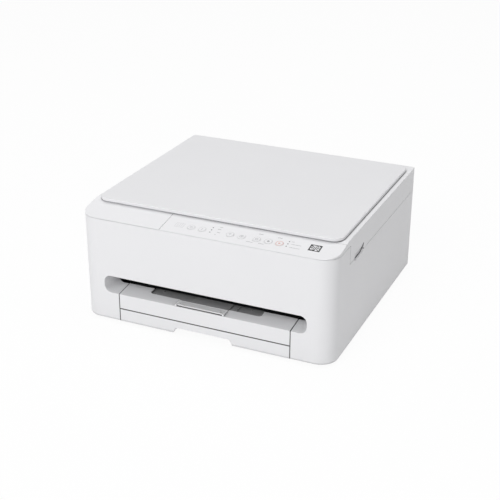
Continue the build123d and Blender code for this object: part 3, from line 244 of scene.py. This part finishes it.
def sheet_steel(name, colour, roughness=0.32):
    """Zinc plated sheet with rolling lines and faint spangle."""
    m = Nodes(name)
    lines = m.noise(0.0006, 4.0, (0.04, 1, 1))
    spangle = m.noise(0.006, 1.0)
    m.put(m.shader.inputs["Base Color"], m.tint(spangle, shade(colour, 0.93), shade(colour, 1.05)))
    m.put(m.shader.inputs["Roughness"], m.between(lines, roughness - 0.08, roughness + 0.10))
    m.shader.inputs["Metallic"].default_value = 1.0
    m.bump(lines, 0.000006, 0.0003)
    return m.material


def rubbery(name, colour):
    """Dull rubber with a coarse, mottled grain."""
    m = Nodes(name)
    grain = m.noise(0.0005, 4.0)
    m.put(m.shader.inputs["Base Color"], m.tint(grain, shade(colour, 0.8), shade(colour, 1.3)))
    m.put(m.shader.inputs["Roughness"], m.between(grain, 0.62, 0.82))
    m.bump(grain, 0.00004, 0.0004)
    return m.material


def clear_glass(name):
    """Faintly green float glass with smears."""
    m = Nodes(name)
    smear = m.noise(0.03, 3.0)
    m.put(m.shader.inputs["Roughness"], m.between(smear, 0.0, 0.04))
    m.shader.inputs["Base Color"].default_value = (0.86, 0.95, 0.93, 1)
    m.shader.inputs["Transmission Weight"].default_value = 1.0
    m.shader.inputs["IOR"].default_value = 1.5
    return m.material


def circuit_board(name):
    """Green lacquer over copper tracks, with the tracks standing slightly proud."""
    m = Nodes(name)
    inputs = {"Vector": m.coordinates, "Scale": 160.0, "Mortar Size": 0.03}
    tracks = m.add("ShaderNodeTexBrick", inputs).outputs["Fac"]
    m.put(m.shader.inputs["Base Color"], m.tint(tracks, (0.02, 0.15, 0.07), (0.06, 0.28, 0.12)))
    m.put(m.shader.inputs["Roughness"], m.between(m.noise(0.004), 0.25, 0.4))
    m.bump(tracks, 0.00003)
    return m.material


def foam_sheet(name, colour):
    """White film on foam: matt, with a slight waviness."""
    m = Nodes(name)
    wave = m.noise(0.02, 2.0)
    m.put(m.shader.inputs["Base Color"], m.tint(wave, shade(colour, 0.97), shade(colour, 1.02)))
    m.put(m.shader.inputs["Roughness"], m.between(m.noise(0.001), 0.55, 0.7))
    m.bump(wave, 0.0002, 0.0006)
    return m.material


def ink(name, colour):
    """Pad-printed ink, with a slightly uneven cover."""
    m = Nodes(name)
    cover = m.noise(0.0004, 4.0)
    m.put(m.shader.inputs["Base Color"], m.tint(cover, shade(colour, 0.85), shade(colour, 1.15)))
    m.put(m.shader.inputs["Roughness"], m.between(cover, 0.45, 0.6))
    m.bump(cover, 0.000004)
    return m.material


# Edges beside the seams round the drawers get painted shade in their colour. They reach from
# the front face to front_edge on the seam below the tray and to side_edge at the sides.

drawer_gap = 0.0006
front_y = cad_box[0][1]
front_edge = front_y + 0.002
side_edge = front_y + 0.03
slot_floor = 0.0495
drawer_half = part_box("output_tray")[1][0]
opening_half = drawer_half + drawer_gap
seam_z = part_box("output_tray")[0][2] - drawer_gap / 2
seam_half = 0.0009
side_seam_half = 0.0004
drawer_painted_seam_shade = (
    (2, seam_z, seam_half, [(1, front_edge)]),
    (0, drawer_half, side_seam_half, [(1, side_edge)]),
)
casing_painted_seam_shade = (
    (0, opening_half, side_seam_half, [(1, side_edge), (2, slot_floor)]),
)


# Materials by slot

white = (0.80, 0.80, 0.815)
dark_grey = (0.30, 0.30, 0.305)
# Reach of the shade painted into gaps and corners of the white shells
painted_gap_shade_reach = 0.007
painted_gap_shade_small_reach = 0.002

materials = {
    "casing": moulded("casing", white, gaps=painted_gap_shade_reach),
    "scanner_shell": moulded("scanner_shell", white, gaps=painted_gap_shade_small_reach),
    "cover": moulded("cover", (0.785, 0.785, 0.80), 0.6, 0.0006, 0.00002),
    "panel": moulded("panel", white, 0.4, depth=0.000006),
    "key": moulded("key", (0.795, 0.795, 0.81), 0.4, depth=0.000005, edge=0.0003),
    "stop_key": moulded("stop_key", (0.795, 0.79, 0.80), 0.4, depth=0.000005, edge=0.0003),
    "tray": moulded("tray", white, gaps=painted_gap_shade_reach, seams=drawer_painted_seam_shade),
    "dark_plastic": moulded("dark_plastic", dark_grey, 0.5),
    "black_plastic": moulded("black_plastic", (0.014, 0.014, 0.015), 0.5),
    "inner_grey": moulded("inner_grey", (0.36, 0.37, 0.385), 0.5),
    "steel": sheet_steel("steel", (0.62, 0.63, 0.64)),
    "motor": sheet_steel("motor", (0.40, 0.40, 0.42), 0.38),
    "gear_white": moulded("gear_white", (0.74, 0.73, 0.68), 0.35, 0.001, 0.000006),
    "rubber": rubbery("rubber", (0.03, 0.03, 0.032)),
    "belt": rubbery("belt", (0.022, 0.022, 0.024)),
    "glass": clear_glass("glass"),
    "pad": foam_sheet("pad", (0.82, 0.82, 0.82)),
    "board": circuit_board("board"),
    "lamp": moulded("lamp", (0.09, 0.095, 0.10), 0.25, 0.001, 0.000003, edge=0.0002),
    "cartridge_black": moulded("cartridge_black", (0.02, 0.02, 0.022), 0.4),
    "cartridge_colour": moulded("cartridge_colour", (0.09, 0.10, 0.12), 0.4),
}


# Nodes whose finish differs from that of their slot. Above the height set below, beside the
# ledge, the casing has no painted gap shade, and the tray's extension is light at its tip and
# dark behind it.

painted_gap_shade_top = 0.09
tip_depth = 0.015
tip_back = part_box("tray_extension")[0][1] + tip_depth

own_materials = {
    "tray_extension": moulded("slide", (0.90, 0.90, 0.91), 0.5, behind=(tip_back, dark_grey)),
    "paper_stopper": moulded("stopper", (0.76, 0.76, 0.77)),
    "main_casing": moulded("main_casing", white, gaps=painted_gap_shade_reach, top=painted_gap_shade_top,
                           seams=casing_painted_seam_shade),
}

inks = {
    "grey": ink("ink_grey", (0.36, 0.36, 0.37)),
    "pale": ink("ink_pale", (0.52, 0.52, 0.53)),
    "dark": ink("ink_dark", (0.03, 0.03, 0.032)),
    "red": ink("ink_red", (0.62, 0.20, 0.16)),
}


def dress_nodes():
    for name, piece in nodes.items():
        piece.data.materials.clear()
        piece.data.materials.append(own_materials.get(name, materials[slots[name]]))


# Black sheet over the tray, which paints the shade inside the paper slot, in millimetres

def add_slab(mesh, outline, low, high):
    """Upright prism from its outline in X and Y."""
    face = mesh.faces.new([mesh.verts.new((x * mm, y * mm, low * mm)) for x, y in outline])
    raised = bmesh.ops.extrude_face_region(mesh, geom=[face])
    for part in raised["geom"]:
        if isinstance(part, bmesh.types.BMVert):
            part.co.z = high * mm


def make_painted_shade_sheet():
    """Painted shade: a black sheet over the bed of the output tray, held by the side walls of
    the drawer bay, where the inside of the slot lies in shade.

    Its middle starts behind the tray's light front part, and its sides start further forward.
    """
    middle_left, middle_right, middle_front = -88.6, 79.6, -143.4
    half_width, foot_inside, side_front, back = 129.8, 127.2, -146.9, -112.0
    wall_top, low, high = 46.7, 47.5, 47.8
    outline = [
        (middle_left, middle_front), (middle_right, middle_front), (middle_right, side_front),
        (half_width, side_front), (half_width, back), (-half_width, back),
        (-half_width, side_front), (middle_left, side_front),
    ]
    mesh = bmesh.new()
    add_slab(mesh, outline, low, high)
    for side in (-1, 1):
        x0, x1 = side * foot_inside, side * half_width
        foot = [(x0, side_front), (x1, side_front), (x1, back), (x0, back)]
        add_slab(mesh, foot, wall_top, low)
    bmesh.ops.recalc_face_normals(mesh, faces=mesh.faces)
    shade_sheet = add_piece("painted_shade_sheet", mesh, materials["black_plastic"])
    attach(shade_sheet, "printer_base")


# Prints on the sloping ledge, in millimetres along X and Y, each a skin lying on the surface

ledge_slope = math.radians(9.75)
ledge_normal = Vector((0, -math.sin(ledge_slope), math.cos(ledge_slope)))
panel_top = Vector(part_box("operation_panel")[1])
print_lift = 0.03
print_depth = 0.02
join_distance = 0.01
key_proud = 0.3
key_count = 7
stroke = 0.45
key_ring = (4.9, 0.25)
frame_stroke = 0.4


def middle_of(node):
    low, high = (Vector(corner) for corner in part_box(node))
    return (low + high) / 2 / mm


key_middles = [middle_of(f"key_{i + 1}") for i in range(key_count)]


def on_ledge(x, y, lift):
    z = panel_top.z - (panel_top.y - y * mm) * math.tan(ledge_slope)
    return Vector((x * mm, y * mm, z)) + ledge_normal * lift * mm


class Print:
    """Flat shapes gathered in one thin piece that rides on a body."""

    def __init__(self, name, ink_name, body, lift=print_lift):
        self.name = name
        self.ink_name = ink_name
        self.body = body
        self.lift = lift
        self.mesh = bmesh.new()

    def shape(self, points):
        self.mesh.faces.new([self.mesh.verts.new(on_ledge(x, y, self.lift)) for x, y in points])

    def bar(self, x0, x1, y, height):
        low, high = y - height / 2, y + height / 2
        self.shape([(x0, low), (x1, low), (x1, high), (x0, high)])

    def arc(self, x, y, r, width, start=0.0, end=360.0):
        """Part of a ring, from one angle to another in degrees."""
        steps = max(6, int(abs(end - start) / 8))
        loops = []
        for i in range(steps + 1):
            angle = math.radians(start + (end - start) * i / steps)
            for reach in (r + width / 2, r - width / 2):
                loops.append((x + reach * math.cos(angle), y + reach * math.sin(angle)))
        for i in range(steps):
            self.shape([loops[2 * i + k] for k in (0, 1, 3, 2)])

    def dot(self, x, y, r, sides=20):
        turn = 2 * math.pi / sides
        angles = [i * turn for i in range(sides)]
        self.shape([(x + r * math.cos(angle), y + r * math.sin(angle)) for angle in angles])

    def dashes(self, x0, x1, y, height, pitch=1.9, gap=0.45):
        """Row of short bars in the place of a word."""
        count = max(1, round((x1 - x0) / pitch))
        step = (x1 - x0) / count
        for i in range(count):
            self.bar(x0 + i * step, x0 + (i + 1) * step - gap, y, height)

    def finish(self):
        bmesh.ops.remove_doubles(self.mesh, verts=self.mesh.verts, dist=join_distance * mm)
        bmesh.ops.recalc_face_normals(self.mesh, faces=self.mesh.faces)
        sunk = bmesh.ops.extrude_face_region(self.mesh, geom=self.mesh.faces[:])
        for part in sunk["geom"]:
            if isinstance(part, bmesh.types.BMVert):
                part.co -= ledge_normal * print_depth * mm
        bmesh.ops.recalc_face_normals(self.mesh, faces=self.mesh.faces)
        piece = add_piece(self.name, self.mesh, inks[self.ink_name])
        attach(piece, self.body)


def start_key(number, ink_name="grey"):
    middle = key_middles[number - 1]
    mark = Print(f"print_key_{number}", ink_name, f"key_body_{number}", key_proud + print_lift)
    return mark, middle.x, middle.y


def print_power_key():
    mark, x, y = start_key(1)
    mark.arc(x, y, 1.7, stroke, 125, 415)
    mark.bar(x - stroke / 2, x + stroke / 2, y + 1.4, 1.8)
    mark.arc(x, y, *key_ring)
    mark.finish()


def print_help_key():
    mark, x, y = start_key(2)
    mark.dot(x, y + 1.3, 0.5)
    mark.bar(x - 0.35, x + 0.35, y - 0.7, 2.4)
    mark.arc(x, y, *key_ring)
    mark.finish()


def print_link_key():
    """Dot with three waves above it."""
    mark, x, y = start_key(3)
    source = y - 1.8
    for r in (1.3, 2.5, 3.7):
        mark.arc(x, source, r, stroke, 50, 130)
    mark.dot(x, source, 0.45)
    mark.arc(x, y, *key_ring)
    mark.finish()


def print_sheet_key():
    """Two sheets, one behind the other."""
    mark, x, y = start_key(4)
    half_width, half_height = 1.4, 1.8
    for dx, dy in ((-0.8, -0.5), (0.8, 0.5)):
        left, right = x + dx - half_width, x + dx + half_width
        low, high = y + dy - half_height, y + dy + half_height
        for edge in (low, high):
            mark.bar(left, right, edge, stroke)
        for edge in (left, right):
            side = (edge - stroke / 2, edge + stroke / 2)
            mark.bar(*side, (low + high) / 2, high - low - stroke)
    mark.finish()


def print_copy_key(number, filled):
    """Sign of a start key: a filled diamond, or a ring with a dot."""
    mark, x, y = start_key(number)
    reach = 2.2
    if filled:
        mark.shape([(x + reach, y), (x, y + reach), (x - reach, y), (x, y - reach)])
    else:
        mark.arc(x, y, reach - 0.3, 0.6)
        mark.dot(x, y, 0.6)
    mark.arc(x, y, *key_ring)
    mark.finish()


def print_stop_key():
    mark, x, y = start_key(7, "red")
    mark.arc(x, y, 4.8, 0.55)
    mark.shape([(x - 1.3, y - 1.5), (x + 1.7, y), (x - 1.3, y + 1.5)])
    mark.finish()


def print_tray_mark():
    """Ruled sheet in a frame, left of the keys."""
    mark = Print("print_tray_mark", "pale", "scanner_unit")
    left, right, low, high = -46.0, -34.0, -163.4, -154.4
    middle = (low + high) / 2
    half = frame_stroke / 2
    for y in (low, high):
        mark.bar(left, right, y, frame_stroke)
    for x in (left, right):
        mark.bar(x - half, x + half, middle, high - low - frame_stroke)
    for x in (-43.0, -40.0, -37.0):
        mark.bar(x - half, x + half, middle, high - low - 2.0)
    mark.finish()


# Rows of dashes in the places of the words: left end, right end, y and height

label_rows = (
    (14.3, 19.2, -147.3, 1.0),
    (13.7, 18.8, -152.6, 1.0),
    (15.5, 20.6, -159.8, 1.0),
    (14.3, 16.5, -165.2, 0.8),
    (119.2, 122.3, -150.4, 1.2),
    (119.8, 133.9, -156.2, 0.9),
    (120.0, 134.2, -163.4, 0.9),
    (61.3, 70.7, -167.6, 1.0),
    (78.2, 85.9, -167.0, 1.0),
    (70.6, 77.1, -146.6, 1.0),
    (97.7, 104.2, -147.2, 1.0),
)


def print_labels():
    mark = Print("print_labels", "grey", "scanner_unit")
    for row in label_rows:
        mark.dashes(*row)
    mark.finish()


def print_square_mark():
    """Plain chequered square in the place of the code at the right end."""
    mark = Print("print_square_mark", "dark", "scanner_unit")
    left, right, low, high = 144.3, 160.1, -162.2, -148.0
    columns = 9
    step = (right - left) / columns
    rise = (high - low) / columns
    rim_cells = [(1, 1), (1, 4), (1, 6), (1, 7), (3, 1), (4, 1), (7, 1), (7, 4), (5, 7), (7, 7)]
    inside = range(2, columns - 2)
    inner_cells = [(i, k) for i in inside for k in inside if (i + k) % 2 == 0]

    def cell(i, k):
        mark.bar(left + i * step, left + (i + 1) * step, low + (k + 0.5) * rise, rise)

    for y in (low + rise / 2, high - rise / 2):
        mark.bar(left, right, y, rise)
    for i, k in rim_cells:
        cell(i, k)
    side_low, side_high = low + rise, high - rise
    for x in (left, right - step):
        mark.shape([(x, side_low), (x + step, side_low), (x + step, side_high), (x, side_high)])
    for i, k in inner_cells:
        cell(i, k)
    mark.finish()


def make_prints():
    print_power_key()
    print_help_key()
    print_link_key()
    print_sheet_key()
    print_copy_key(5, False)
    print_copy_key(6, True)
    print_stop_key()
    print_tray_mark()
    print_labels()
    print_square_mark()


# Floor, world and lamps

world_level = 0.40
lamp_aim = (0, 0, 0.1)


def seen_white(tree):
    """Factor that is 1 for rays from the camera, a mirror or a glass, which see plain white."""
    path = tree.nodes.new("ShaderNodeLightPath")
    total = path.outputs["Is Camera Ray"]
    for name in ("Is Glossy Ray", "Is Transmission Ray"):
        larger = tree.nodes.new("ShaderNodeMath")
        larger.operation = "MAXIMUM"
        tree.links.new(total, larger.inputs[0])
        tree.links.new(path.outputs[name], larger.inputs[1])
        total = larger.outputs[0]
    return total


def make_floor(size=6.0, shadow_share=0.06, contact_reach=0.0022):
    """White floor that keeps a share of the object's shadow, and all of it close to the base."""
    mesh = bpy.data.meshes.new("floor")
    corners = [(-size, -size, 0), (size, -size, 0), (size, size, 0), (-size, size, 0)]
    mesh.from_pydata(corners, [], [(0, 1, 2, 3)])
    floor = add_object("floor", mesh)
    m = Nodes("floor")
    paper = m.noise(0.002, 3.0)
    m.put(m.shader.inputs["Base Color"], m.tint(paper, (0.90, 0.90, 0.90), (0.92, 0.92, 0.92)))
    m.shader.inputs["Roughness"].default_value = 0.9
    glow = m.add("ShaderNodeEmission", {"Color": (1, 1, 1, 1), "Strength": 1.0})
    open_share = m.between(m.clearance(contact_reach), 0.0, 1 - shadow_share)
    share = m.math("MULTIPLY", seen_white(m.tree), open_share)
    mixed = m.add("ShaderNodeMixShader", {0: share, 1: m.shader.outputs[0], 2: glow.outputs[0]})
    m.put(m.tree.nodes["Material Output"].inputs["Surface"], mixed.outputs[0])
    mesh.materials.append(m.material)


def make_world():
    """Even light that looks white wherever it is seen directly."""
    world = bpy.data.worlds.new("studio")
    world.use_nodes = True
    tree = world.node_tree
    back = tree.nodes["Background"]
    strength = tree.nodes.new("ShaderNodeMapRange")
    strength.inputs["To Min"].default_value = world_level
    strength.inputs["To Max"].default_value = 1.0
    tree.links.new(seen_white(tree), strength.inputs["Value"])
    tree.links.new(strength.outputs[0], back.inputs["Strength"])
    back.inputs["Color"].default_value = (1, 1, 1, 1)
    bpy.context.scene.world = world


def area_lamp(name, place, size, power):
    data = bpy.data.lights.new(name, "AREA")
    data.shape = "RECTANGLE"
    data.size, data.size_y = size
    data.energy = power
    lamp = add_object(name, data)
    lamp.location = place
    lamp.rotation_euler = (Vector(lamp_aim) - Vector(place)).to_track_quat("-Z", "Y").to_euler()


def make_lamps():
    area_lamp("key_lamp", (-0.35, -2.9, 2.0), (2.2, 1.8), 55)
    area_lamp("top_lamp", (0.1, 0.3, 2.6), (2.2, 2.2), 26)


make_camera()
dress_nodes()
make_prints()
make_painted_shade_sheet()
make_floor()
make_world()
make_lamps()

bpy.context.scene.view_settings.view_transform = "Standard"
